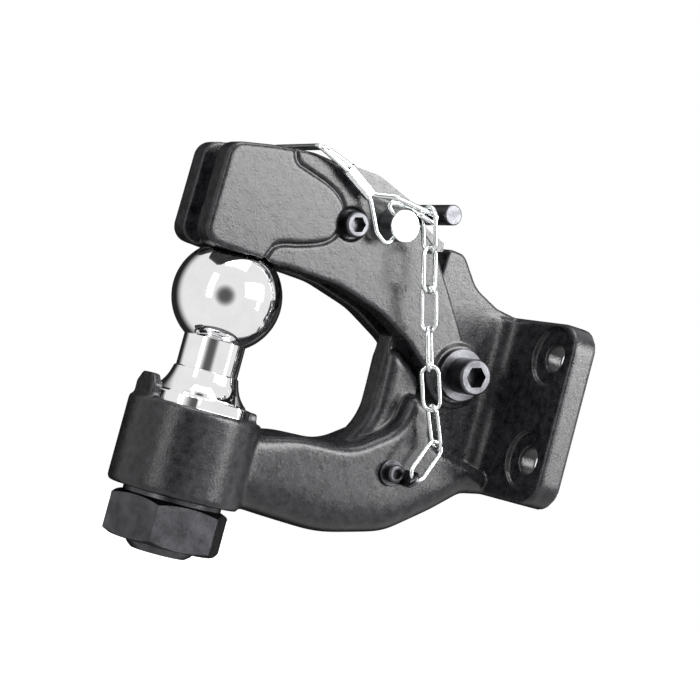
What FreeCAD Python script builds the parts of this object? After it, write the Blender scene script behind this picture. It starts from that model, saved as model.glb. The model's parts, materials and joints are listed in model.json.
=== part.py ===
import FreeCAD, Part
import math
import os

import Sketcher
from FreeCAD import Placement, Rotation, Vector

# Trailer hitch with ball: a forged pintle hook whose lower arm carries a tow ball.
# +X points to the vehicle, +Z is up along the ball axis, the near side is -Y.
# The origin is the centre of the four-bolt pattern on the mounting face.

os.makedirs("parts", exist_ok=True)
doc = FreeCAD.newDocument("TrailerHitch")
sheet = doc.addObject("Spreadsheet::Sheet", "dims")

SIZES = {
    # mounting plate
    "plate_thick": 12.7,
    "plate_half_width": 60.0,
    "plate_top": 42.0,
    "plate_bottom": -47.0,
    "plate_corner": 13.0,
    "bolt_half_y": 42.85,
    "bolt_half_z": 25.4,
    "bolt_hole_radius": 6.75,
    "spotface_radius": 14.25,
    "spotface_depth": 2.5,
    # web, column, arm
    "web_half": 6.2,
    "column_half": 10.5,
    "lower_web_half": 13.0,
    "arm_half": 20.5,
    "flare_half": 19.0,
    # ball and its boss
    "ball_x": -166.0,
    "ball_z": 10.5,
    "ball_radius": 25.4,
    "neck_radius": 14.4,
    "flange_radius": 24.5,
    "flange_thick": 4.6,
    "flange_flat": 22.0,
    "flange_gap": 0.35,
    "shank_radius": 15.9,
    "bore_radius": 16.1,
    "boss_radius": 31.2,
    "boss_top": -42.5,
    "boss_height": 41.0,
    "washer_thick": 2.6,
    "washer_radius": 23.0,
    "nut_flat": 25.0,
    "nut_height": 20.5,
    "shank_end": -110.5,
    # latch
    "latch_half": 17.6,
    "pad_rise": 1.4,
    "slot_half": 6.5,
    "ball_relief_radius": 26.8,
    "eye_radius": 17.0,
    "eye_gap": 0.5,
    # latch pivot
    "pivot_x": -45.3,
    "pivot_z": 5.7,
    "pivot_bolt_radius": 6.3,
    "pivot_bore_radius": 6.36,
    "bush_radius": 8.2,
    "pivot_boss_radius": 14.2,
    "pivot_boss_rise": 1.8,
    "pivot_washer_radius": 12.6,
    "pivot_washer_thick": 3.2,
    "pivot_head_radius": 8.6,
    "pivot_head_height": 12.0,
    # lock
    "lock_half": 6.0,
    "lock_pivot_x": -122.5,
    "lock_pivot_z": 58.1,
    "lock_screw_radius": 3.9,
    "lock_sleeve_radius": 5.2,
    "lock_head_radius": 6.1,
    "lock_seat_radius": 7.9,
    "spring_recess_radius": 10.6,
    "spring_wire_radius": 0.8,
    "lock_head_height": 8.0,
    "rod_radius": 4.85,
    "rod_length": 29.1,
    "rod_spigot_radius": 3.2,
    "lock_fit_radius": 5.26,
    # safety pin
    "pin_x": -101.4,
    "pin_z": 63.7,
    "pin_radius": 4.75,
    "pin_bore_radius": 4.83,
    "pin_head_radius": 7.7,
    "pin_head_front": -30.0,
    "pin_head_back": -17.9,
    "pin_tip": 29.0,
    "pin_drill_radius": 1.3,
    "bail_wire_radius": 1.2,
    # chain
    "link_wire_radius": 1.05,
    "link_half_width": 3.95,
    "link_half_length": 10.42,
    "chain_y": -31.0,
    "chain_pitch": 18.6,
    # anchor
    "anchor_x": -69.0,
    "anchor_z": -48.0,
    "anchor_head_radius": 4.3,
    "anchor_screw_radius": 2.9,
    "tag_hole_radius": 2.2,
}


def fill_sheet():
    for row, (name, value) in enumerate(SIZES.items(), start=1):
        sheet.set(f"A{row}", name)
        sheet.set(f"B{row}", str(value))
        sheet.setAlias(f"B{row}", name)
    doc.recompute()


fill_sheet()


def dim(name):
    return float(sheet.get(name))


# ---------------------------------------------------------------- helpers


def new_body(name):
    body = doc.addObject("PartDesign::Body", name)
    body.Label = name
    return body


def plane(body, role):
    return next(f for f in body.Origin.OriginFeatures if f.Role == role)


def new_sketch(body, name, role, offset=None):
    sketch = body.newObject("Sketcher::SketchObject", name)
    sketch.AttachmentSupport = [(plane(body, role), "")]
    sketch.MapMode = "FlatFace"
    if offset is not None:
        sketch.AttachmentOffset = offset
    return sketch


def raised(height):
    return Placement(Vector(0, 0, height), Rotation())


def rounded(corners):
    """Lines and arcs of a closed outline; each corner is (u, v, radius)."""
    entries = []
    count = len(corners)
    for i, (u, v, radius) in enumerate(corners):
        here = Vector(u, v, 0)
        back = Vector(*corners[i - 1][:2], 0) - here
        ahead = Vector(*corners[(i + 1) % count][:2], 0) - here
        back.normalize()
        ahead.normalize()
        half = back.getAngle(ahead) / 2
        if radius <= 0 or half > math.radians(89.5):
            entries.append((here, None, here))
            continue
        reach = radius / math.tan(half)
        middle = (back + ahead).normalize()
        centre = here + middle * (radius / math.sin(half))
        entries.append((here + back * reach, centre - middle * radius, here + ahead * reach))
    return entries


def add_outline(sketch, corners):
    entries = rounded(corners)
    for i, (start, middle, end) in enumerate(entries):
        if middle is not None:
            sketch.addGeometry(Part.Arc(start, middle, end), False)
        following = entries[(i + 1) % len(entries)][0]
        if (following - end).Length > 1e-6:
            sketch.addGeometry(Part.LineSegment(end, following), False)


def add_circle(sketch, u, v, radius_cell):
    circle = Part.Circle(Vector(u, v, 0), Vector(0, 0, 1), dim(radius_cell))
    index = sketch.addGeometry(circle, False)
    number = sketch.addConstraint(Sketcher.Constraint("Radius", index, dim(radius_cell)))
    sketch.setExpression(f"Constraints[{number}]", f"dims.{radius_cell}")
    return index


def pad(body, sketch, length, midplane=False, reverse=False):
    feature = body.newObject("PartDesign::Pad", sketch.Name + "_pad")
    feature.Profile = sketch
    feature.setExpression("Length", length)
    feature.Midplane = midplane
    feature.Reversed = reverse
    sketch.Visibility = False
    doc.recompute()
    return feature


def pocket(body, sketch, length, midplane=False, reverse=False):
    before = body.Shape.Volume
    feature = body.newObject("PartDesign::Pocket", sketch.Name + "_cut")
    feature.Profile = sketch
    feature.setExpression("Length", length)
    feature.Midplane = midplane
    feature.Reversed = reverse
    sketch.Visibility = False
    doc.recompute()
    if body.Shape.Volume >= before - 1e-6:
        raise RuntimeError(f"{sketch.Name} cut nothing")
    return feature


def revolve(body, sketch, axis="V_Axis", cut=False):
    kind = "PartDesign::Groove" if cut else "PartDesign::Revolution"
    feature = body.newObject(kind, sketch.Name + "_turn")
    feature.Profile = sketch
    feature.ReferenceAxis = (sketch, [axis])
    feature.Angle = 360.0
    sketch.Visibility = False
    doc.recompute()
    return feature


def edges_where(shape, test):
    return [f"Edge{i}" for i, edge in enumerate(shape.Edges, start=1) if test(edge)]


def dress(body, kind, size, test):
    """Fillet or chamfer every edge of the body that passes the test."""
    base = body.Tip
    names = edges_where(base.Shape, test)
    if not names:
        raise RuntimeError(f"no edge to dress on {body.Name}")
    feature = body.newObject(f"PartDesign::{kind}", f"{body.Name}_{kind}")
    feature.Base = (base, names)
    if kind == "Fillet":
        feature.Radius = size
    else:
        feature.Size = size
    doc.recompute()
    if feature.Shape.isNull() or not feature.Shape.isValid():
        raise RuntimeError(f"{feature.Name} failed")
    return feature


def side_pad(name, corners, width):
    """A body made from an outline in the XZ plane, padded evenly to both sides."""
    body = new_body(name)
    sketch = new_sketch(body, name + "_outline", "XZ_Plane")
    add_outline(sketch, corners)
    pad(body, sketch, width, midplane=True)
    return body


def round_rod(name, x, z, length, radius_cell):
    """A body made from a circle in the XZ plane, padded evenly to both sides."""
    body = new_body(name)
    sketch = new_sketch(body, name + "_circle", "XZ_Plane")
    add_circle(sketch, x, z, radius_cell)
    pad(body, sketch, length, midplane=True)
    return body


def fuse(name, pieces):
    joined = doc.addObject("Part::MultiFuse", name)
    joined.Shapes = pieces
    joined.Refine = True
    doc.recompute()
    return joined


def cut(name, base, tools):
    """The base with every tool taken away; the result carries the sub-part's name."""
    tool = tools[0] if len(tools) == 1 else fuse(name + "_tools", tools)
    before = base.Shape.Volume
    result = doc.addObject("Part::Cut", name)
    result.Base = base
    result.Tool = tool
    result.Refine = True
    doc.recompute()
    if result.Shape.Volume >= before - 1e-6:
        raise RuntimeError(f"{name}: the tools cut nothing")
    return result


def on_side(edge, half):
    """True for an edge that lies flat on one of the two side faces of a symmetric pad."""
    b = edge.BoundBox
    return b.YLength < 0.01 and abs(abs(b.YMax) - half) < 0.01


def flat_at(edge, level, axis="Z"):
    low = getattr(edge.BoundBox, axis + "Min")
    high = getattr(edge.BoundBox, axis + "Max")
    return high - low < 0.01 and abs(high - level) < 0.01


def add_hexagon(sketch, flat_radius, turn=0.0):
    corner = flat_radius / math.cos(math.pi / 6)
    points = []
    for i in range(6):
        angle = math.radians(turn + 60 * i)
        points.append((corner * math.cos(angle), corner * math.sin(angle), 0))
    add_outline(sketch, points)


def frame(origin, along, upward):
    """Placement that carries local X to `along` and local Z to `upward`."""
    z = Vector(upward).normalize()
    x = Vector(along)
    x = (x - z * x.dot(z)).normalize()
    y = z.cross(x)
    return Placement(FreeCAD.Matrix(x.x, y.x, z.x, origin.x, x.y, y.y, z.y, origin.y,
                                    x.z, y.z, z.z, origin.z, 0, 0, 0, 1))


def facing_near(x, y, z):
    """Placement that carries local Z to the near side, -Y."""
    return frame(Vector(x, y, z), Vector(1, 0, 0), Vector(0, -1, 0))


def turned(name, profile, where):
    """A body of revolution about its local Z; the profile is (radius, height, corner radius)."""
    body = new_body(name)
    sketch = new_sketch(body, name + "_profile", "XZ_Plane")
    add_outline(sketch, profile)
    revolve(body, sketch)
    body.Placement = where
    return body


def washer(name, outer, inner, thick, where):
    edge = min(0.4, thick / 4)
    return turned(name, [(inner, 0, 0), (outer, 0, edge), (outer, thick, edge), (inner, thick, 0)], where)


def hex_nut(name, flat, height, bore, where, turn=0.0):
    body = new_body(name)
    sketch = new_sketch(body, name + "_hexagon", "XY_Plane")
    add_hexagon(sketch, flat, turn)
    sketch.addGeometry(Part.Circle(Vector(0, 0, 0), Vector(0, 0, 1), bore), False)
    pad(body, sketch, f"{height}")
    corner = flat * 1.25
    drop = (corner - flat) * 0.5
    for label, base, sign in (("under", 0, 1), ("over", height, -1)):
        bevel = new_sketch(body, f"{name}_{label}_bevel", "XZ_Plane")
        add_outline(bevel, [(flat * 0.96, base - sign, 0), (corner, base - sign, 0),
                            (corner, base + sign * drop, 0), (flat * 0.96, base, 0)])
        revolve(body, bevel, cut=True)
    body.Placement = where
    return body


def socket_screw(name, head, head_height, shank, length, key, where):
    """Socket-head screw: the underside of the head is at local zero, the head points up."""
    body = new_body(name)
    sketch = new_sketch(body, name + "_profile", "XZ_Plane")
    add_outline(sketch, [(0, -length, 0), (shank, -length, 0.8), (shank, 0, 0), (head, 0, 0.5),
                         (head, head_height, 1.1), (0, head_height, 0)])
    revolve(body, sketch)
    socket = new_sketch(body, name + "_socket", "XY_Plane", raised(head_height))
    add_hexagon(socket, key, 15.0)
    pocket(body, socket, f"{head_height * 0.6}")
    body.Placement = where
    return body


def path_through(name, corners):
    """An open path of straight runs and arcs in space; each corner is (x, y, z, radius)."""
    points = [Vector(*c[:3]) for c in corners]
    pieces = []
    last = points[0]
    for i in range(1, len(points) - 1):
        here = points[i]
        back = (points[i - 1] - here).normalize()
        ahead = (points[i + 1] - here).normalize()
        half = back.getAngle(ahead) / 2
        radius = corners[i][3]
        reach = radius / math.tan(half)
        middle = (back + ahead).normalize()
        start = here + back * reach
        end = here + ahead * reach
        inner = here + middle * (radius / math.sin(half) - radius)
        pieces.append(Part.LineSegment(last, start).toShape())
        pieces.append(Part.Arc(start, inner, end).toShape())
        last = end
    pieces.append(Part.LineSegment(last, points[-1]).toShape())
    path = doc.addObject("Part::Feature", name)
    path.Shape = Part.Wire(pieces)
    return path


def swept_wire(name, path, radius_cell):
    """Round wire of the given radius swept along a path."""
    first = path.Shape.Edges[0]
    start = first.valueAt(first.FirstParameter)
    heading = first.tangentAt(first.FirstParameter)
    sideways = heading.cross(Vector(0, 0, 1))
    section = doc.addObject("Part::Circle", name + "_section")
    section.setExpression("Radius", f"dims.{radius_cell}")
    section.Placement = frame(start, sideways, heading)
    sweep = doc.addObject("Part::Sweep", name)
    sweep.Sections = [section]
    sweep.Spine = (path, [f"Edge{i + 1}" for i in range(len(path.Shape.Edges))])
    sweep.Solid = True
    sweep.Frenet = False
    doc.recompute()
    return sweep


# ---------------------------------------------------------------- hook casting


def hook_plate():
    body = new_body("plate_stock")
    sketch = new_sketch(body, "plate_outline", "YZ_Plane")
    w = dim("plate_half_width")
    top = dim("plate_top")
    bottom = dim("plate_bottom")
    corner = dim("plate_corner")
    add_outline(sketch, [(-w, bottom, corner), (w, bottom, corner), (w, top, corner), (-w, top, corner)])
    pad(body, sketch, "dims.plate_thick", reverse=True)
    dress(body, "Fillet", 1.8, lambda e: flat_at(e, -dim("plate_thick"), "X"))
    return body


def hook_web():
    """Thin upper web and horn that stand between the latch cheeks."""
    body = side_pad("web_stock", [
        (-6, -40, 0), (-6, 41, 0), (-24, 43.2, 8), (-39, 49.5, 18), (-50.5, 63.4, 7), (-60, 63.8, 2),
        (-62, 36, 25), (-79.5, 15, 3), (-79.5, -25, 0), (-40, -45, 0),
    ], "2 * dims.web_half")
    dress(body, "Fillet", 1.0, lambda e: on_side(e, dim("web_half")) and e.BoundBox.ZMin > 42
          and e.BoundBox.XMin < -20)
    return body


def hook_lower_web():
    """Thicker lower web under the latch eye, tied into the plate."""
    body = side_pad("lower_web_stock", [
        (-6, -44, 0), (-6, -8, 0), (-24, -11, 6), (-34, -15.5, 8), (-52, -15.5, 8), (-66, -3, 6),
        (-72, -14, 3), (-72, -40, 0), (-40, -60, 0),
    ], "2 * dims.lower_web_half")
    dress(body, "Fillet", 4.0, lambda e: on_side(e, dim("lower_web_half")) and e.BoundBox.ZMin > -16)
    return body


def hook_arm():
    """Lower arm: the curved jaw from the ball boss up to the throat and the plate."""
    body = side_pad("arm_stock", [
        (-166, -45.5, 0), (-141, -47.5, 12), (-118, -42.5, 60), (-92, -41.5, 30), (-69, -26.5, 18),
        (-66.5, -9.5, 3), (-53, -12.5, 6), (-50, -30, 10), (-8, -37, 0), (-8, -47, 0), (-22, -49.5, 14),
        (-39, -63, 26), (-58, -77, 26), (-92, -84.5, 50), (-130, -82.5, 40), (-166, -74, 0),
    ], "2 * dims.arm_half")
    dress(body, "Fillet", 13.0, lambda e: on_side(e, dim("arm_half")) and e.BoundBox.ZMin < -46
          and e.BoundBox.XMax < -7 and e.BoundBox.XLength > 1 and e.BoundBox.ZMax < -46.9
          and not (e.BoundBox.XMax < -130 and e.BoundBox.ZMin > -50))
    dress(body, "Fillet", 5.0, lambda e: on_side(e, dim("arm_half")) and e.BoundBox.XMax < -55
          and e.BoundBox.ZMin > -48.5)
    return body


def hook_column():
    """Rounded central rib down the back of the throat."""
    body = side_pad("column_stock", [
        (-60, -1, 0), (-68, 6, 0), (-79.6, 12.8, 4), (-78.6, -26, 30), (-92, -42.5, 20), (-112, -46, 0),
        (-95, -60, 0), (-60, -50, 0),
    ], "2 * dims.column_half")
    dress(body, "Fillet", 6.0, lambda e: on_side(e, dim("column_half")) and e.BoundBox.XMax < -70
          and e.BoundBox.ZMin > -46.1)
    return body


def hook_flares():
    """Concave flares that spread the web into the mounting plate."""
    w = dim("web_half")
    f = dim("flare_half")
    body = new_body("flare_stock")
    sketch = new_sketch(body, "flare_outline", "XY_Plane", raised(dim("plate_bottom") + 6))
    add_outline(sketch, [(-8, -f, 0), (-8, f, 0), (-12.8, f, 0), (-13.5, w + 1, 11), (-32, w, 0),
                         (-32, -w, 0), (-13.5, -w - 1, 11), (-12.8, -f, 0)])
    pad(body, sketch, "dims.plate_top - dims.plate_bottom - 8.5")
    return body


def hook_boss():
    body = new_body("boss_stock")
    sketch = new_sketch(body, "boss_outline", "XY_Plane", raised(dim("boss_top")))
    add_circle(sketch, dim("ball_x"), 0, "boss_radius")
    pad(body, sketch, "dims.boss_height", reverse=True)
    top = dim("boss_top")
    dress(body, "Fillet", 2.4, lambda e: flat_at(e, top) or flat_at(e, top - dim("boss_height")))
    return body


def hook_lug(name, x, corners):
    """A faceted lug on top of the boss that stops the ball flange from turning."""
    body = new_body(name)
    sketch = new_sketch(body, name + "_outline", "YZ_Plane", raised(x))
    add_outline(sketch, corners)
    pad(body, sketch, "6.6")
    return body


def flange_seat():
    """Room for the ball's flange between the two lugs."""
    seat = doc.addObject("Part::Cylinder", "flange_seat")
    seat.setExpression("Radius", "dims.flange_radius + dims.flange_gap")
    seat.Height = 14
    seat.Placement = on_ball_axis(dim("boss_top"))
    return seat


def eye_seats():
    """Round seats in the column, on both sides of the web, that the latch's eyes turn in."""
    seats = []
    for side, label in ((-1, "near"), (1, "far")):
        seat = doc.addObject("Part::Cylinder", f"eye_seat_{label}")
        seat.setExpression("Radius", "dims.eye_radius + dims.eye_gap")
        seat.Height = 20
        start = Vector(dim("pivot_x"), side * dim("web_half"), dim("pivot_z"))
        seat.Placement = frame(start, Vector(1, 0, 0), Vector(0, side, 0))
        seats.append(seat)
    return seats


def hook_cutters():
    """Bores for the ball shank, pivot, anchor screw and mounting bolts, with their spotfaces."""
    bores = new_body("upright_bores")
    shank = new_sketch(bores, "ball_bore", "XY_Plane")
    add_circle(shank, dim("ball_x"), 0, "bore_radius")
    pad(bores, shank, "130", reverse=True)
    pivot = round_rod("pivot_bore", dim("pivot_x"), dim("pivot_z"), "60", "bush_radius")
    anchor = new_body("anchor_bore")
    tapped = new_sketch(anchor, "anchor_bore_circle", "XZ_Plane", raised(10))
    add_circle(tapped, dim("anchor_x"), dim("anchor_z"), "anchor_screw_radius")
    pad(anchor, tapped, "14")
    return [bores, pivot, anchor, flange_seat()] + eye_seats() + bolt_bores()


def bolt_bores():
    cutters = []
    for side in (-1, 1):
        for level in (-1, 1):
            body = new_body("bolt_cutter")
            y = side * dim("bolt_half_y")
            z = level * dim("bolt_half_z")
            face = new_sketch(body, "spotface", "YZ_Plane", raised(-30))
            add_circle(face, y, z, "spotface_radius")
            pad(body, face, "30 - dims.plate_thick + dims.spotface_depth")
            hole = new_sketch(body, "bolt_hole", "YZ_Plane", raised(-30))
            add_circle(hole, y, z, "bolt_hole_radius")
            pad(body, hole, "40")
            cutters.append(body)
    return cutters


def build_hook():
    top = dim("boss_top")
    front_lug = hook_lug("front_lug", dim("ball_x") - 28.5, [
        (-9, top - 2, 0), (9, top - 2, 0), (9.5, top + 6, 1.5), (5.5, top + 10.5, 1.5),
        (-5.5, top + 10.5, 1.5), (-9.5, top + 6, 1.5)])
    rear_lug = hook_lug("rear_lug", dim("ball_x") + 21.9, [
        (-7, top - 2, 0), (7, top - 2, 0), (6, top + 4.6, 1.5), (-6, top + 4.6, 1.5)])
    stock = fuse("hook_stock", [
        hook_plate(), hook_arm(), hook_lower_web(), hook_column(), hook_web(), hook_flares(),
        hook_boss(), front_lug, rear_lug])
    return cut("hook_casting", stock, hook_cutters())


# ---------------------------------------------------------------- ball and its fixings


def on_ball_axis(z):
    return Placement(Vector(dim("ball_x"), 0, z), Rotation())


def build_ball():
    """Polished ball, neck, flared foot, flange with two wrench flats, and the long shank."""
    r = dim("ball_radius")
    neck = dim("neck_radius")
    top = dim("boss_top")
    flange = dim("flange_radius")
    thick = dim("flange_thick")
    shank = dim("shank_radius")
    centre = dim("ball_z")
    flat = 6.0
    crown = centre + math.sqrt(r * r - flat * flat)
    root = centre - math.sqrt(r * r - neck * neck)
    body = new_body("tow_ball")
    sketch = new_sketch(body, "ball_profile", "XZ_Plane", Placement(Vector(dim("ball_x"), 0, 0), Rotation()))
    points = [(neck, root), (neck, top + 17.5), (neck + 2.6, top + 12.5), (flange - 3.0, top + thick + 1),
              (flange, top + thick), (flange, top), (shank, top), (shank, dim("shank_end") + 2),
              (shank - 2, dim("shank_end")), (0, dim("shank_end")), (0, crown), (flat, crown)]
    for (u1, v1), (u2, v2) in zip(points, points[1:]):
        sketch.addGeometry(Part.LineSegment(Vector(u1, v1, 0), Vector(u2, v2, 0)), False)
    sketch.addGeometry(Part.Arc(Vector(flat, crown, 0), Vector(r, centre, 0), Vector(neck, root, 0)), False)
    revolve(body, sketch)
    for side in (-1, 1):
        label = "near" if side < 0 else "far"
        flats = new_sketch(body, label + "_flat", "XY_Plane", raised(top - 1))
        y = side * dim("flange_flat")
        add_outline(flats, [(dim("ball_x") - 30, y, 0), (dim("ball_x") + 30, y, 0),
                            (dim("ball_x") + 30, side * 30, 0), (dim("ball_x") - 30, side * 30, 0)])
        pocket(body, flats, "7.5", reverse=True)
    return body


def build_ball_fixings():
    seat = dim("boss_top") - dim("boss_height")
    thick = dim("washer_thick")
    height = dim("nut_height")
    bore = dim("shank_radius") + 0.05
    lock_washer = washer("ball_lock_washer", dim("washer_radius"), bore, thick, on_ball_axis(seat - thick))
    nut = hex_nut("ball_nut", dim("nut_flat"), height, bore, on_ball_axis(seat - thick - height), 54.4)
    return [lock_washer, nut]


# ---------------------------------------------------------------- latch pivot


def build_pivot():
    x = dim("pivot_x")
    z = dim("pivot_z")
    face = dim("latch_half") + dim("pivot_boss_rise") + 0.05
    thick = dim("pivot_washer_thick")
    shank = dim("pivot_bolt_radius")
    bolt = socket_screw("pivot_bolt", dim("pivot_head_radius"), dim("pivot_head_height"), shank,
                        2 * face + 2 * thick + 10.5, 4.7, facing_near(x, -face - thick, z))
    near = washer("pivot_washer_near", dim("pivot_washer_radius"), shank, thick, facing_near(x, -face, z))
    far = washer("pivot_washer_far", dim("pivot_washer_radius"), shank, thick,
                 facing_near(x, face + thick, z))
    bush = washer("pivot_bush", dim("bush_radius"), shank, 2 * dim("web_half"),
                  facing_near(x, dim("web_half"), z))
    nut = hex_nut("pivot_nut", 9.5, 8.5, shank, facing_near(x, face + thick + 8.5, z), 10.0)
    return [bolt, near, far, bush, nut]


# ---------------------------------------------------------------- latch


def latch_stock():
    half = dim("latch_half")
    cheeks = side_pad("cheek_stock", [
        (-193.4, 30.3, 7.5), (-192.8, 76.5, 8), (-172, 81, 30), (-150, 84.2, 40),
        (-134, 83, 14), (-116, 75.8, 10), (-98, 75.4, 8), (-76, 61.5, 3), (-62, 43.5, 12),
        (-46.5, 22.4, 0), (-45.3, 5.7, 0), (-61.9, 2.5, 0), (-75, 12.9, 25), (-95, 23, 40),
        (-120, 29.2, 40), (-148, 30, 0), (-165, 28.8, 0),
    ], "2 * dims.latch_half")
    dress(cheeks, "Fillet", 1.6, lambda e: on_side(e, half) and e.BoundBox.ZMin > 3.5
          and e.BoundBox.XMax < -47 and e.BoundBox.XMin > -193.1)
    eye = round_rod("latch_eye", dim("pivot_x"), dim("pivot_z"), "2 * dims.latch_half", "eye_radius")
    dress(eye, "Fillet", 1.6, lambda e: on_side(e, half))
    boss = round_rod("latch_pivot_boss", dim("pivot_x"), dim("pivot_z"),
                     "2 * (dims.latch_half + dims.pivot_boss_rise)", "pivot_boss_radius")
    pads = side_pad("latch_pads", [
        (-193.4, 30.3, 7.5), (-192.8, 76.5, 8), (-172, 81, 30), (-161, 82.6, 1.5),
        (-159, 77, 4), (-138, 72.3, 10), (-128.5, 66, 6), (-127, 57, 6), (-131, 47.5, 5),
        (-143, 42.5, 8), (-158, 39, 4), (-161, 32.5, 2), (-162, 29, 0),
    ], "2 * (dims.latch_half + dims.pad_rise)")
    outer = half + dim("pad_rise")
    dress(pads, "Fillet", 2.2, lambda e: on_side(e, outer) and e.BoundBox.XMax < -160.5)
    return fuse("latch_stock", [cheeks, eye, boss, pads])


def latch_cutters():
    slot = side_pad("latch_slot", [
        (-200, 20, 0), (-200, 100, 0), (-10, 100, 0), (-10, -20, 0), (-140, -20, 0), (-140, 40, 0),
        (-144, 60, 6), (-147, 72, 4), (-178, 70, 6), (-183, 60, 8), (-183, 20, 0),
    ], "2 * dims.slot_half")
    relief = doc.addObject("Part::Sphere", "ball_relief")
    relief.setExpression("Radius", "dims.ball_relief_radius")
    relief.Placement = Placement(Vector(dim("ball_x"), 0, dim("ball_z")), Rotation())
    pivot = round_rod("latch_pivot_bore", dim("pivot_x"), dim("pivot_z"), "60", "pivot_bore_radius")
    pin = round_rod("latch_pin_bore", dim("pin_x"), dim("pin_z"), "60", "pin_bore_radius")
    screw = round_rod("lock_screw_bore", dim("lock_pivot_x"), dim("lock_pivot_z"), "60",
                      "lock_screw_radius")
    seats = []
    for side, label in ((-1, "near"), (1, "far")):
        seat = new_body(f"lock_screw_seat_{label}")
        y = -16.0 if side < 0 else 26.0
        circle = new_sketch(seat, f"lock_screw_seat_{label}_circle", "XZ_Plane", raised(-y))
        add_circle(circle, dim("lock_pivot_x"), dim("lock_pivot_z"), "lock_seat_radius")
        pad(seat, circle, "10")
        seats.append(seat)
    return [slot, relief, pivot, pin, screw] + seats


def build_latch():
    slot, relief, *bores = latch_cutters()
    slotted = cut("latch_slotted", latch_stock(), [slot])
    hollowed = cut("latch_hollowed", slotted, [relief])
    return cut("latch_casting", hollowed, bores)


# ---------------------------------------------------------------- lock


def at_lock_pivot(y):
    return facing_near(dim("lock_pivot_x"), y, dim("lock_pivot_z"))


def rod_line():
    """The cross rod leans a little up and toward the vehicle as it comes out."""
    root = Vector(-82.7, -6.4, 74.0)
    tip = Vector(-80.8, -35.0, 75.3)
    return root, (tip - root).normalize()


def build_lock_fixings():
    slot = dim("slot_half")
    screw = socket_screw("lock_pivot_screw", dim("lock_head_radius"), dim("lock_head_height"),
                         dim("lock_screw_radius"), 39.0, 3.4, at_lock_pivot(-16.0))
    nut = hex_nut("lock_pivot_nut", 6.5, 5.5, dim("lock_screw_radius"), at_lock_pivot(21.5), 20.0)
    sleeve = washer("lock_pivot_sleeve", dim("lock_sleeve_radius"), dim("lock_screw_radius"),
                    2 * slot, at_lock_pivot(slot))
    return [screw, nut, sleeve]


def build_spring():
    """Torsion spring beside the lock eye: one leg on the latch, the other on the lock."""
    x = dim("lock_pivot_x")
    z = dim("lock_pivot_z")
    coil = 8.0
    turns = 1.5
    steps = 18
    points = [Vector(x - 20.5, 5.2, z + coil), Vector(x - 13, 5.2, z + coil), Vector(x - 6, 5.2, z + coil)]
    for i in range(steps + 1):
        angle = math.pi / 2 - 2 * math.pi * turns * i / steps
        points.append(Vector(x + coil * math.cos(angle), 5.2 - 3.0 * i / steps, z + coil * math.sin(angle)))
    points += [Vector(x - 3, 2.2, z - coil), Vector(x - 5.5, 2.2, z - coil)]
    curve = Part.BSplineCurve()
    curve.interpolate(points)
    path = doc.addObject("Part::Feature", "lock_spring_path")
    path.Shape = Part.Wire([curve.toShape()])
    return swept_wire("lock_spring", path, "spring_wire_radius")


def arc_slot_cutter():
    """Slot that lets the lock swing on its pivot while the pin stays in the latch."""
    px = dim("lock_pivot_x")
    pz = dim("lock_pivot_z")
    dx = dim("pin_x") - px
    dz = dim("pin_z") - pz
    radius = math.hypot(dx, dz)
    high = math.atan2(dz, dx) + math.radians(1.5)
    low = high - math.radians(39.5)
    half = 5.2
    body = new_body("lock_slot")
    sketch = new_sketch(body, "lock_slot_outline", "XZ_Plane")

    def at(angle, r):
        return Vector(px + r * math.cos(angle), pz + r * math.sin(angle), 0)

    middle = (high + low) / 2
    outer = radius + half
    inner = radius - half
    overrun = half / radius
    corners = [at(high, outer), at(low, outer), at(low, inner), at(high, inner)]
    crowns = [at(middle, outer), at(low - overrun, radius), at(middle, inner), at(high + overrun, radius)]
    for k, crown in enumerate(crowns):
        sketch.addGeometry(Part.Arc(corners[k], crown, corners[(k + 1) % 4]))
    pad(body, sketch, "30", midplane=True)
    return body


def build_lock():
    stock = side_pad("lock_stock", [
        (-132, 49, 8), (-130, 76, 10), (-122.5, 86, 5), (-108, 85.8, 20), (-96, 81.8, 12),
        (-87, 79, 4), (-79, 79, 4), (-76.5, 69.5, 4), (-64, 65.2, 1.5), (-63.4, 61.2, 0.8),
        (-76, 58, 6), (-86, 46, 8), (-97, 40.8, 8), (-117, 41.5, 10),
    ], "2 * dims.lock_half")
    bore = round_rod("lock_bore", dim("lock_pivot_x"), dim("lock_pivot_z"), "60", "lock_fit_radius")
    recess = new_body("spring_recess")
    circle = new_sketch(recess, "spring_recess_circle", "XZ_Plane", raised(-20))
    add_circle(circle, dim("lock_pivot_x"), dim("lock_pivot_z"), "spring_recess_radius")
    pad(recess, circle, "19")
    root, heading = rod_line()
    socket = new_body("rod_socket")
    ring = new_sketch(socket, "rod_socket_circle", "XY_Plane", raised(-20))
    add_circle(ring, 0, 0, "rod_spigot_radius")
    pad(socket, ring, "30")
    socket.Placement = frame(root, Vector(1, 0, 0), heading)
    return cut("lock_pawl", stock, [bore, recess, arc_slot_cutter(), socket])


def build_rod():
    root, heading = rod_line()
    r = dim("rod_radius")
    spigot = dim("rod_spigot_radius")
    end = dim("rod_length") - 0.4
    return turned("lock_handle", [(0, -12.0, 0), (spigot, -12.0, 0.5), (spigot, 0, 0), (r, 0, 0.3),
                                  (r, end, 0.7), (0, end, 0)], frame(root, Vector(1, 0, 0), heading))


# ---------------------------------------------------------------- safety pin with its bail


def pin_drill(angle):
    """Unit direction across the pin head, in the XZ plane."""
    turn = math.radians(angle)
    return Vector(math.cos(turn), 0, math.sin(turn))


BAIL_END_A = -110.0
BAIL_END_B = 142.0
BAIL_END_Y = -25.0


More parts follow.
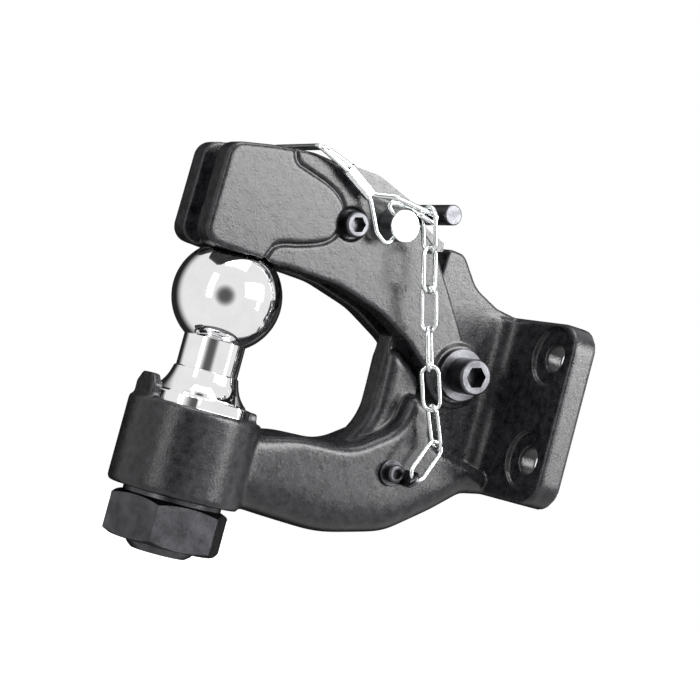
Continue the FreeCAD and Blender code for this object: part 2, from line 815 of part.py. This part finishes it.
def build_pin():
    x = dim("pin_x")
    z = dim("pin_z")
    front = -dim("pin_head_front")
    back = -dim("pin_head_back")
    tip = -dim("pin_tip")
    r = dim("pin_radius")
    head = dim("pin_head_radius")
    blank = turned("pin_blank", [
        (0, tip, 0), (r - 1.6, tip, 0), (r, tip + 2.2, 0), (r, back, 0), (head, back, 0.6),
        (head, front, 0.7), (0, front, 0)], facing_near(x, 0, z))
    drills = []
    for label, angle in (("a", BAIL_END_A), ("b", BAIL_END_B)):
        drill = new_body("pin_drill_" + label)
        circle = new_sketch(drill, f"pin_drill_{label}_circle", "XY_Plane", raised(3.4))
        add_circle(circle, 0, 0, "pin_drill_radius")
        pad(drill, circle, "10")
        drill.Placement = frame(Vector(x, BAIL_END_Y, z), Vector(0, 1, 0), pin_drill(angle))
        drills.append(drill)
    return cut("safety_pin", blank, drills)


def sleeve_ends():
    return Vector(-120.2, -23.0, 73.1), Vector(-134.5, -23.0, 81.2)


def build_bail():
    """One spring wire: both ends in the pin head, doubled over the latch, looped on the pin tip."""
    pin = Vector(dim("pin_x"), BAIL_END_Y, dim("pin_z"))
    low, high = sleeve_ends()
    run = (high - low).normalize()
    across = Vector(-run.z, 0, run.x) * -1.32
    first = pin + pin_drill(BAIL_END_A) * 3.6
    last = pin + pin_drill(BAIL_END_B) * 3.6
    bend = pin + pin_drill(BAIL_END_B) * 14.2
    loop = 7.0
    tip = Vector(dim("pin_x"), 24.6, dim("pin_z"))
    away = Vector(0.919, 0, -0.394)
    side = Vector(0.394, 0, 0.919)
    lower = tip + away * loop - side * loop
    upper = tip + away * loop + side * loop
    inner = low - across - run * 1.5
    inner_top = high - across + run * 2
    outer = low + across - run * 1.5
    outer_top = high + across + run * 2
    corners = [
        (first.x, first.y, first.z, 0),
        (-105.5, -25, 52.6, 3.0),
        (-112.6, -24.5, 57.4, 4.0),
        (inner.x, inner.y, inner.z, 5.0),
        (inner_top.x, inner_top.y, inner_top.z, 8.0),
        (-151.6, -22.6, 86.7, 3.2),
        (-151.6, 22.6, 86.3, 3.2),
        (lower.x, lower.y, lower.z, 5.7),
        (upper.x, upper.y, upper.z, 5.7),
        (-148.8, 22.6, 86.5, 3.2),
        (-148.8, -22.6, 86.9, 3.2),
        (outer_top.x, outer_top.y, outer_top.z, 8.0),
        (outer.x, outer.y, outer.z, 5.0),
        (-110.0, -28.6, 75.2, 6.0),
        (-87.6, -31.9, 72.6, 1.45),
        (-87.6, -31.2, 68.9, 1.45),
        (-95.2, -31.0, 70.5, 2.4),
        (-99.5, -26.6, 73.4, 2.4),
        (bend.x, bend.y, bend.z, 1.6),
        (last.x, last.y, last.z, 0),
    ]
    return swept_wire("bail_wire", path_through("bail_path", corners), "bail_wire_radius")


def build_sleeve():
    """Crimped oval sleeve that holds the two strands of the bail side by side."""
    low, high = sleeve_ends()
    run = (high - low).normalize()
    length = (high - low).Length
    body = new_body("bail_sleeve")
    sketch = new_sketch(body, "sleeve_outline", "XY_Plane")
    add_outline(sketch, [(-3.3, -2.0, 1.95), (3.3, -2.0, 1.95), (3.3, 2.0, 1.95), (-3.3, 2.0, 1.95)])
    for side in (-1, 1):
        add_circle(sketch, side * 1.32, 0, "bail_wire_radius")
    pad(body, sketch, f"{length}")
    body.Placement = frame(low, Vector(-run.z, 0, run.x), run)
    return body


# ---------------------------------------------------------------- chain and anchor


# lean of each link from the vertical, how far its plane is turned about its own length,
# and how far it sits up its length, because the bars meet sideways where the chain bends sharply
LINK_LEAN = [-19.3, -16.0, -17.6, -19.2, -20.9, -25.5, 23.6]
LINK_TURN = [75, -15, 65, -45, 30, 90, 0]
LINK_RAISE = [0, 0, 0, 0, 0, 0, 0.55]
CHAIN_TOP = Vector(-92.4, 0, 74.5)


def link_axis(number):
    lean = math.radians(LINK_LEAN[number])
    return Vector(math.sin(lean), 0, math.cos(lean))


def chain_nodes():
    """Points where the chain's links hang in each other, from the bail down to the tag."""
    here = Vector(CHAIN_TOP.x, dim("chain_y"), CHAIN_TOP.z)
    nodes = [here]
    for number in range(len(LINK_LEAN)):
        here = here - link_axis(number) * dim("chain_pitch")
        nodes.append(here)
    return nodes


def build_link(number, top, bottom):
    name = f"chain_link_{number + 1}"
    w = dim("link_half_width")
    end = dim("link_half_length")
    body = new_body(name)
    spine = new_sketch(body, name + "_spine", "XZ_Plane")
    straight = end - w
    for side in (-1, 1):
        low = Vector(side * w, -side * straight, 0)
        high = Vector(side * w, side * straight, 0)
        over = Vector(-side * w, side * straight, 0)
        spine.addGeometry(Part.LineSegment(low, high), False)
        spine.addGeometry(Part.Arc(high, Vector(0, side * end, 0), over), False)
    ring = new_sketch(body, name + "_ring", "XY_Plane")
    add_circle(ring, w, 0, "link_wire_radius")
    pipe = body.newObject("PartDesign::AdditivePipe", name + "_pipe")
    pipe.Profile = ring
    pipe.Spine = spine
    axis = link_axis(number)
    turn = math.radians(LINK_TURN[number])
    middle = (top + bottom) * 0.5 + axis * LINK_RAISE[number]
    body.Placement = frame(middle, Vector(math.cos(turn), -math.sin(turn), 0), axis)
    doc.recompute()
    return body


def build_chain():
    nodes = chain_nodes()
    return [build_link(i, nodes[i], nodes[i + 1]) for i in range(len(LINK_LEAN))]


def build_anchor():
    x = dim("anchor_x")
    z = dim("anchor_z")
    side = dim("arm_half")
    thick = 1.5
    screw = socket_screw("anchor_screw", dim("anchor_head_radius"), 4.6, dim("anchor_screw_radius"), 11.0,
                         2.3, facing_near(x, -side - thick, z))
    ring = washer("tag_ring", 6.4, dim("anchor_screw_radius"), thick, facing_near(x, -side, z))
    axis = link_axis(len(LINK_LEAN) - 1)
    hole = chain_nodes()[-1] - axis * 1.4
    reach = -dim("chain_y")
    tab = side_pad("tag_tab", [
        (-4, side, 0), (4, side, 0), (4, reach + 4, 3.99), (-4, reach + 4, 3.99),
    ], "1.5")
    tab.Placement = frame(Vector(hole.x, 0, hole.z), axis, Vector(0, -1, 0))
    foot = side_pad("tag_foot", [
        (x, z - 5.5, 0), (hole.x, hole.z - 3.6, 0), (hole.x + 3.2, hole.z + 3.6, 0),
        (hole.x + 1, hole.z + 4.4, 0), (x, z + 5.5, 0),
    ], "1.5")
    foot.Placement = Placement(Vector(0, -side - thick / 2, 0), Rotation())
    eye = round_rod("tag_eye", 0, reach, "10", "tag_hole_radius")
    eye.Placement = tab.Placement
    clear = round_rod("tag_clear", x, z, "80", "anchor_screw_radius")
    tag = cut("anchor_tag", fuse("tag_stock", [ring, tab, foot]), [eye, clear])
    return [screw, tag]


# ---------------------------------------------------------------- hand over


def export(parts):
    doc.recompute()
    for item in doc.Objects:
        if "Invalid" in item.State or "Error" in item.State:
            raise RuntimeError(f"{item.Name}: {item.State}")
    for item in parts:
        shape = item.Shape
        if shape.isNull() or not shape.isValid() or len(shape.Solids) != 1:
            raise RuntimeError(f"bad shape on {item.Label}")
        shape.exportStep(f"parts/{item.Label}.step")
        print(item.Label, "volume", round(shape.Volume))


export([build_hook(), build_ball(), build_latch(), build_spring(), build_lock(), build_rod(), build_pin(),
        build_bail(), build_sleeve()]
       + build_ball_fixings() + build_pivot() + build_lock_fixings() + build_chain() + build_anchor())
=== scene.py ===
"""Looks of a pintle hook hitch with a tow ball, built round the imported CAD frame.

Lengths are in metres.
"""

import json
import math

import bmesh
import bpy
from mathutils import Matrix, Vector

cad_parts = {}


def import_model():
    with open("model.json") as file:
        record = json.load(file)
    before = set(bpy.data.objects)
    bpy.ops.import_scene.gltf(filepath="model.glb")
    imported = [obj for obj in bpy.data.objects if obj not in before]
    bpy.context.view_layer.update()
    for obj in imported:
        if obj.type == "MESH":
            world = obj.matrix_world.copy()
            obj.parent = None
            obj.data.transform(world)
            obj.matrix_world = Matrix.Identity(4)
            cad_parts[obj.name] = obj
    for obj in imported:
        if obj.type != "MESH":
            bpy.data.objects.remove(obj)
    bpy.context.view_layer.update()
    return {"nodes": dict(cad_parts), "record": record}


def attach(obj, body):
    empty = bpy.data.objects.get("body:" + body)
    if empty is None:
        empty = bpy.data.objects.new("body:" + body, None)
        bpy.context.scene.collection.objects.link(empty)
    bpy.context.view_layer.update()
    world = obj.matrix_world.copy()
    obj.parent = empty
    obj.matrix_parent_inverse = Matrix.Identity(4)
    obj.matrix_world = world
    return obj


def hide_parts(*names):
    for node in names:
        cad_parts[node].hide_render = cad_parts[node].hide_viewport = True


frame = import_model()

# The tow ball, from its crown down to the tip of its shank.
BALL_X = -0.166
BALL_Z = 0.0105
BALL_R = 0.0254
CROWN_R = 0.006
NECK_R = 0.0144
FLANGE_Z = -0.0425
FLANGE_R = 0.0245
FLANGE_FLAT = 0.022
FLANGE_THICK = 0.0046
NECK_FOOT_Z = FLANGE_Z + 0.0175
FOOT_END_Z = FLANGE_Z + 0.0056
NECK_BEVEL_R = 0.0008
NECK_BEVEL_Z = 0.0006
SHANK_R = 0.0159
THREAD_TOP = -0.1000
SHANK_END = -0.1105

# The groove round the latch's pads, and the softened forgings.
CHEEK_Y = 0.0177
GROOVE_R = 0.0012
HOOK_VOXEL = 0.0007
LATCH_VOXEL = 0.0006


# ---------------------------------------------------------------- materials


def set_range(node, start, stop, low, high):
    for name, value in zip(("From Min", "From Max", "To Min", "To Max"), (start, stop, low, high)):
        node.inputs[name].default_value = value


class Nodes:
    """Small helper round one material's node tree."""

    def __init__(self, name):
        self.material = bpy.data.materials.new(name)
        self.material.use_nodes = True
        self.tree = self.material.node_tree
        self.shader = self.tree.nodes["Principled BSDF"]
        self.place = self.add("ShaderNodeTexCoord").outputs["Object"]

    def add(self, kind):
        return self.tree.nodes.new(kind)

    def link(self, output, target):
        self.tree.links.new(output, target)

    def noise(self, scale, detail=4.0, roughness=0.6):
        node = self.add("ShaderNodeTexNoise")
        node.inputs["Scale"].default_value = scale
        node.inputs["Detail"].default_value = detail
        node.inputs["Roughness"].default_value = roughness
        self.link(self.place, node.inputs["Vector"])
        return node.outputs["Fac"]

    def spread(self, source, low, high, start=0.3, stop=0.7):
        node = self.add("ShaderNodeMapRange")
        set_range(node, start, stop, low, high)
        self.link(source, node.inputs["Value"])
        return node.outputs["Result"]

    def ramp(self, source, stops):
        node = self.add("ShaderNodeValToRGB")
        points = node.color_ramp.elements
        while len(points) < len(stops):
            points.new(0.5)
        for point, (position, colour) in zip(points, stops):
            point.position = position
            point.color = (*colour, 1.0)
        self.link(source, node.inputs["Fac"])
        return node.outputs["Color"]

    def mix(self, factor, first, second):
        node = self.add("ShaderNodeMix")
        node.data_type = "RGBA"
        self.link(factor, node.inputs["Factor"])
        self.link(first, node.inputs["A"])
        self.link(second, node.inputs["B"])
        return node.outputs["Result"]

    def bump(self, source, strength, distance, below=None):
        node = self.add("ShaderNodeBump")
        node.inputs["Strength"].default_value = strength
        node.inputs["Distance"].default_value = distance
        self.link(source, node.inputs["Height"])
        if below is not None:
            self.link(below, node.inputs["Normal"])
        return node.outputs["Normal"]

    def edges(self, start, stop):
        """1 on outward corners, 0 on flats and in hollows."""
        pointiness = self.add("ShaderNodeNewGeometry").outputs["Pointiness"]
        return self.spread(pointiness, 0.0, 1.0, start, stop)


def painted_forging():
    """Black paint over a die forging: pitted skin, painted shade darkening the hollows, and corners
    paler from wear and a painted highlight.
    """
    n = Nodes("black_paint")
    paint = n.ramp(n.noise(260, 5), [(0.32, (0.004, 0.004, 0.005)), (0.68, (0.024, 0.024, 0.027))])
    # Outward corners turn paler: partly edge wear, partly a painted highlight along the edges.
    edge_wear_and_highlight = n.ramp(n.noise(420, 3), [(0.35, (0.05, 0.05, 0.052)), (0.7, (0.12, 0.12, 0.125))])
    paint_and_edge_highlight = n.mix(n.edges(0.54, 0.62), paint, edge_wear_and_highlight)
    # Painted shade: hollows, found by low pointiness, are darkened still further, as if in shadow.
    painted_hollow_shade = n.ramp(n.noise(300, 2), [(0.3, (0.003, 0.003, 0.003)), (0.7, (0.006, 0.006, 0.006))])
    n.link(n.mix(n.edges(0.485, 0.44), paint_and_edge_highlight, painted_hollow_shade), n.shader.inputs["Base Color"])
    n.link(n.spread(n.noise(900, 4), 0.16, 0.32), n.shader.inputs["Roughness"])
    coarse = n.bump(n.noise(150, 5), 0.30, 0.0005)
    grain = n.bump(n.noise(1000, 3), 0.42, 0.00030, coarse)
    n.link(grain, n.shader.inputs["Normal"])
    n.shader.inputs["Specular IOR Level"].default_value = 0.42
    return n.material


def steel(name, dark, light, low, high, grain):
    """Bare or blackened steel: colour and roughness drift, with a fine grain."""
    n = Nodes(name)
    colour = n.ramp(n.noise(120, 5), [(0.3, dark), (0.7, light)])
    n.link(colour, n.shader.inputs["Base Color"])
    n.link(n.spread(n.noise(700, 4), low, high), n.shader.inputs["Roughness"])
    n.link(n.bump(n.noise(1800, 3), grain, 0.00012), n.shader.inputs["Normal"])
    n.shader.inputs["Metallic"].default_value = 1.0
    return n.material


MATERIALS = {
    "black_paint": painted_forging(),
    "dark_steel": steel("dark_steel", (0.042, 0.042, 0.046), (0.100, 0.100, 0.108), 0.24, 0.40, 0.35),
    "chrome": steel("chrome", (0.86, 0.86, 0.87), (0.93, 0.93, 0.94), 0.03, 0.07, 0.02),
    "bright_zinc": steel("bright_zinc", (0.62, 0.64, 0.64), (0.84, 0.86, 0.86), 0.12, 0.26, 0.15),
    "spring_steel": steel("spring_steel", (0.22, 0.22, 0.23), (0.38, 0.38, 0.40), 0.25, 0.40, 0.15),
    "bronze": steel("bronze", (0.42, 0.27, 0.13), (0.58, 0.40, 0.21), 0.30, 0.45, 0.20),
}
SLOT = {part["node"]: part["material_slot"] for part in frame["record"]["subparts"]}
BODIES = frame["record"]["behaviour"]["bodies"]
BODY = {node: body for body, nodes in BODIES.items() for node in nodes}


def finish_of(piece, slot):
    piece.data.materials.clear()
    piece.data.materials.append(MATERIALS[slot])


# ---------------------------------------------------------------- pieces


def smooth(mesh, angle=35):
    mesh.shade_smooth()
    mesh.set_sharp_from_angle(angle=math.radians(angle))


def adopt(piece, node):
    """The piece stands for a CAD node: same body, same finish."""
    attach(piece, BODY[node])
    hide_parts(node)
    finish_of(piece, SLOT[node])


def welded_copy(node, name):
    mesh = frame["nodes"][node].data.copy()
    shape = bmesh.new()
    shape.from_mesh(mesh)
    bmesh.ops.remove_doubles(shape, verts=shape.verts, dist=1e-6)
    shape.to_mesh(mesh)
    shape.free()
    piece = bpy.data.objects.new(name, mesh)
    bpy.context.scene.collection.objects.link(piece)
    return piece


def apply_modifiers(piece):
    graph = bpy.context.evaluated_depsgraph_get()
    made = bpy.data.meshes.new_from_object(piece.evaluated_get(graph))
    piece.modifiers.clear()
    piece.data = made


def groove(piece, points, radius):
    """Cuts a round-bottomed groove along a smooth line."""
    data = bpy.data.curves.new("groove_line", "CURVE")
    data.dimensions = "3D"
    data.bevel_depth = radius
    data.bevel_resolution = 3
    data.use_fill_caps = True
    line = data.splines.new("NURBS")
    line.points.add(len(points) - 1)
    for point, place in zip(line.points, points):
        point.co = (*place, 1.0)
    line.order_u = 3
    line.use_endpoint_u = True
    curve = bpy.data.objects.new("groove_line", data)
    bpy.context.scene.collection.objects.link(curve)
    graph = bpy.context.evaluated_depsgraph_get()
    mesh = bpy.data.meshes.new_from_object(curve.evaluated_get(graph))
    tool = bpy.data.objects.new("groove_tool", mesh)
    bpy.context.scene.collection.objects.link(tool)
    cutter = piece.modifiers.new("groove", "BOOLEAN")
    cutter.operation = "DIFFERENCE"
    cutter.object = tool
    cutter.solver = "EXACT"
    apply_modifiers(piece)
    for made in (curve, tool):
        bpy.data.objects.remove(made)


def forged(node, name, voxel, passes, grooves=()):
    """The node with every edge softened, as a die forging under paint has."""
    piece = welded_copy(node, name)
    for points in grooves:
        groove(piece, points, GROOVE_R)
    remesh = piece.modifiers.new("voxels", "REMESH")
    remesh.mode = "VOXEL"
    remesh.voxel_size = voxel
    soften = piece.modifiers.new("soften", "SMOOTH")
    soften.factor = 0.5
    soften.iterations = passes
    apply_modifiers(piece)
    return piece


def slope(value, zero, one):
    """0 at one value, 1 at another, straight between them."""
    return max(0.0, min(1.0, (value - zero) / (one - zero)))


def round_arm(piece, passes):
    """Rolls the lower half of the arm's sides away, clear of the boss, the plate and the anchor."""
    group = piece.vertex_groups.new(name="arm")
    for vertex in piece.data.vertices:
        x, y, z = vertex.co
        low = slope(z, -0.046, -0.056)
        weight = low * slope(x, -0.143, -0.130) * slope(x, -0.036, -0.052)
        if weight > 0:
            group.add([vertex.index], weight, "REPLACE")
    soften = piece.modifiers.new("roll", "SMOOTH")
    soften.factor = 0.5
    soften.iterations = passes
    soften.vertex_group = "arm"
    apply_modifiers(piece)
    piece.vertex_groups.clear()


def lathe(name, profile, steps):
    """Surface of revolution about the ball's upright axis; the profile is (radius, height)."""
    shape = bmesh.new()
    rings = []
    for radius, height in profile:
        if radius < 1e-7:
            rings.append([shape.verts.new((BALL_X, 0.0, height))])
            continue
        ring = []
        for k in range(steps):
            turn = 2 * math.pi * k / steps
            place = (BALL_X + radius * math.cos(turn), radius * math.sin(turn), height)
            ring.append(shape.verts.new(place))
        rings.append(ring)
    for low, high in zip(rings, rings[1:]):
        for k in range(steps):
            after = (k + 1) % steps
            corners = [low[k % len(low)], low[after % len(low)],
                       high[after % len(high)], high[k % len(high)]]
            unique = list(dict.fromkeys(corners))
            if len(unique) > 2:
                shape.faces.new(unique)
    bmesh.ops.recalc_face_normals(shape, faces=shape.faces)
    mesh = bpy.data.meshes.new(name)
    shape.to_mesh(mesh)
    shape.free()
    piece = bpy.data.objects.new(name, mesh)
    bpy.context.scene.collection.objects.link(piece)
    return piece


def arc(centre, radius, start, stop, steps):
    """Points along an arc in the (radius, height) plane, from one angle in degrees to another."""
    turns = [math.radians(start + (stop - start) * k / steps) for k in range(steps + 1)]
    return [(centre[0] + radius * math.cos(t), centre[1] + radius * math.sin(t)) for t in turns]


def shank_thread(top, end, pitch=0.002, depth=0.0011):
    """Crests and roots of the thread, down to the chamfered tip."""
    rings = []
    height = top
    while height > end + 0.003:
        rings += [(SHANK_R - depth, height), (SHANK_R - depth, height - 0.2 * pitch),
                  (SHANK_R, height - 0.5 * pitch), (SHANK_R, height - 0.7 * pitch)]
        height -= pitch
    return rings + [(SHANK_R - depth, end + 0.0016), (SHANK_R - 0.0032, end), (0.0, end)]


def foot_curve(steps):
    """Hollow curve from the neck's shoulder out to the top of the flange."""
    start = (NECK_R + NECK_BEVEL_R, NECK_FOOT_Z - NECK_BEVEL_Z)
    reach = FLANGE_R - 0.003 - start[0]
    drop = start[1] - FOOT_END_Z
    line = [(NECK_R, NECK_FOOT_Z), start]
    for k in range(1, steps + 1):
        t = k / steps
        line.append((start[0] + reach * (0.45 * t + 0.55 * t ** 3), start[1] - drop * t))
    return line


def flange_rim():
    top = FLANGE_Z + FLANGE_THICK
    return [(FLANGE_R - 0.0028, top + 0.0004), (FLANGE_R - 0.0005, top),
            (FLANGE_R, top - 0.0005), (FLANGE_R, FLANGE_Z)]


def cut_flats(piece):
    """Two wrench flats on the flange."""
    for vertex in piece.data.vertices:
        if FLANGE_Z - 1e-6 < vertex.co.z < FOOT_END_Z + 0.0006:
            vertex.co.y = max(-FLANGE_FLAT, min(FLANGE_FLAT, vertex.co.y))


def tow_ball():
    """Ball with a flat crown, short neck, curved foot and flange, and the plain shank down to where
    the thread starts.
    """
    top_angle = math.degrees(math.acos(CROWN_R / BALL_R))
    root_angle = -math.degrees(math.acos(NECK_R / BALL_R))
    ball = arc((0.0, BALL_Z), BALL_R, top_angle, root_angle, 90)
    shank = [(SHANK_R, FLANGE_Z), (SHANK_R, THREAD_TOP), (0.0, THREAD_TOP)]
    profile = [(0.0, ball[0][1])] + ball + foot_curve(24) + flange_rim() + shank
    piece = lathe("tow_ball_turned", profile, 192)
    cut_flats(piece)
    smooth(piece.data, 30)
    adopt(piece, "tow_ball")


def shank_end():
    piece = lathe("shank_end_thread", [(0.0, THREAD_TOP)] + shank_thread(THREAD_TOP, SHANK_END), 96)
    smooth(piece.data, 30)
    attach(piece, "hook")
    finish_of(piece, "dark_steel")


def pad_foot(side):
    """Line along the foot of the raised pad on one cheek of the latch."""
    line = [(-0.1605, 0.0850), (-0.1595, 0.0770), (-0.1510, 0.0752), (-0.1375, 0.0718),
            (-0.1290, 0.0665), (-0.1268, 0.0570), (-0.1300, 0.0475), (-0.1430, 0.0420),
            (-0.1575, 0.0388), (-0.1605, 0.0330), (-0.1618, 0.0270)]
    return [(x, side * CHEEK_Y, z) for x, z in line]


# ---------------------------------------------------------------- build

hook = forged("hook_casting", "hook_forging", HOOK_VOXEL, 8)
round_arm(hook, 420)
latch = forged("latch_casting", "latch_forging", LATCH_VOXEL, 6, [pad_foot(-1), pad_foot(1)])
for piece, node in ((hook, "hook_casting"), (latch, "latch_casting")):
    piece.data.shade_smooth()
    adopt(piece, node)
tow_ball()
shank_end()

for node, piece in frame["nodes"].items():
    if not piece.hide_render:
        finish_of(piece, SLOT[node])
        smooth(piece.data)


# ---------------------------------------------------------------- stage, light and camera


FLOOR_Z = -0.42
MIDDLE = (-0.10, 0.0, 0.0)
TENT_MIDDLE = (-0.30, -0.95, 0.05)
LENS_WAY = (-0.50, -0.865, -0.05)


def floor():
    """White paper: it glows faintly, and the steel doesn't mirror it."""
    mesh = bpy.data.meshes.new("floor")
    corners = [(x, y, FLOOR_Z) for x, y in ((-6, -6), (6, -6), (6, 6), (-6, 6))]
    mesh.from_pydata(corners, [], [(0, 1, 2, 3)])
    piece = bpy.data.objects.new("floor", mesh)
    bpy.context.scene.collection.objects.link(piece)
    n = Nodes("pale_floor")
    tone = n.ramp(n.noise(1.5, 2), [(0.3, (0.93, 0.93, 0.93)), (0.7, (0.95, 0.95, 0.95))])
    n.link(tone, n.shader.inputs["Base Color"])
    n.link(tone, n.shader.inputs["Emission Color"])
    n.shader.inputs["Emission Strength"].default_value = 0.9
    n.shader.inputs["Roughness"].default_value = 0.9
    mesh.materials.append(n.material)
    piece.visible_diffuse = False
    piece.visible_glossy = False


def softbox(name, place, target, width, height, power):
    data = bpy.data.lights.new(name, "AREA")
    data.shape = "RECTANGLE"
    data.size = width
    data.size_y = height
    data.energy = power
    lamp = bpy.data.objects.new(name, data)
    bpy.context.scene.collection.objects.link(lamp)
    lamp.location = place
    lamp.rotation_euler = (Vector(target) - Vector(place)).to_track_quat("-Z", "Y").to_euler()
    lamp.visible_camera = False


def world():
    """White behind the object; round it a tent, dim at the back, with the lens's dark hole in it."""
    made = bpy.data.worlds.new("tent")
    bpy.context.scene.world = made
    made.use_nodes = True
    nodes = made.node_tree.nodes
    links = made.node_tree.links
    nodes.clear()
    out = nodes.new("ShaderNodeOutputWorld")
    choice = nodes.new("ShaderNodeMixShader")
    seen = nodes.new("ShaderNodeBackground")
    seen.inputs["Strength"].default_value = 1.0
    around = nodes.new("ShaderNodeBackground")
    where = nodes.new("ShaderNodeTexCoord").outputs["Generated"]

    def toward(way, start, stop, low, high):
        """A level that depends on how nearly a direction points along way."""
        facing = nodes.new("ShaderNodeVectorMath")
        facing.operation = "DOT_PRODUCT"
        facing.inputs[1].default_value = way
        links.new(where, facing.inputs[0])
        level = nodes.new("ShaderNodeMapRange")
        level.interpolation_type = "SMOOTHSTEP"
        set_range(level, start, stop, low, high)
        links.new(facing.outputs["Value"], level.inputs["Value"])
        return level.outputs["Result"]

    strength = nodes.new("ShaderNodeMath")
    strength.operation = "MULTIPLY"
    links.new(toward(TENT_MIDDLE, -0.80, -0.38, 0.02, 0.88), strength.inputs[0])
    links.new(toward(LENS_WAY, 0.90, 0.995, 1.0, 0.12), strength.inputs[1])
    links.new(strength.outputs["Value"], around.inputs["Strength"])
    for node in (seen, around):
        node.inputs["Color"].default_value = (1, 1, 1, 1)
    links.new(nodes.new("ShaderNodeLightPath").outputs["Is Camera Ray"], choice.inputs["Fac"])
    links.new(around.outputs["Background"], choice.inputs[1])
    links.new(seen.outputs["Background"], choice.inputs[2])
    links.new(choice.outputs["Shader"], out.inputs["Surface"])


def camera():
    """Long lens, a little below the hitch and turned fifteen degrees about its own line of sight."""
    data = bpy.data.cameras.new("camera")
    data.lens = 100.3
    data.sensor_width = 36.0
    ahead = Vector((0.4993, 0.8648, 0.0523)).normalized()
    right = Vector((0.8660, -0.5, 0.0))
    right = (right - ahead * right.dot(ahead)).normalized()
    up = right.cross(ahead)
    lean = math.radians(15)
    x = right * math.cos(lean) + up * math.sin(lean)
    y = up * math.cos(lean) - right * math.sin(lean)
    z = -ahead
    place = Vector((-0.5588, -0.8018, -0.0453))
    made = bpy.data.objects.new("camera", data)
    bpy.context.scene.collection.objects.link(made)
    made.matrix_world = Matrix(((x.x, y.x, z.x, place.x),
                                (x.y, y.y, z.y, place.y),
                                (x.z, y.z, z.z, place.z),
                                (0, 0, 0, 1)))
    bpy.context.scene.camera = made


floor()
world()
softbox("front_right", (0.24, -0.66, 0.29), MIDDLE, 0.62, 0.40, 10)
softbox("side_strip", (0.46, -0.66, 0.02), MIDDLE, 0.10, 0.32, 1.6)
softbox("overhead", (-0.2, -0.2, 1.3), MIDDLE, 0.9, 0.9, 14)
softbox("left", (-1.25, -0.55, 0.25), MIDDLE, 0.25, 1.1, 4)
camera()
bpy.context.scene.view_settings.view_transform = "Standard"
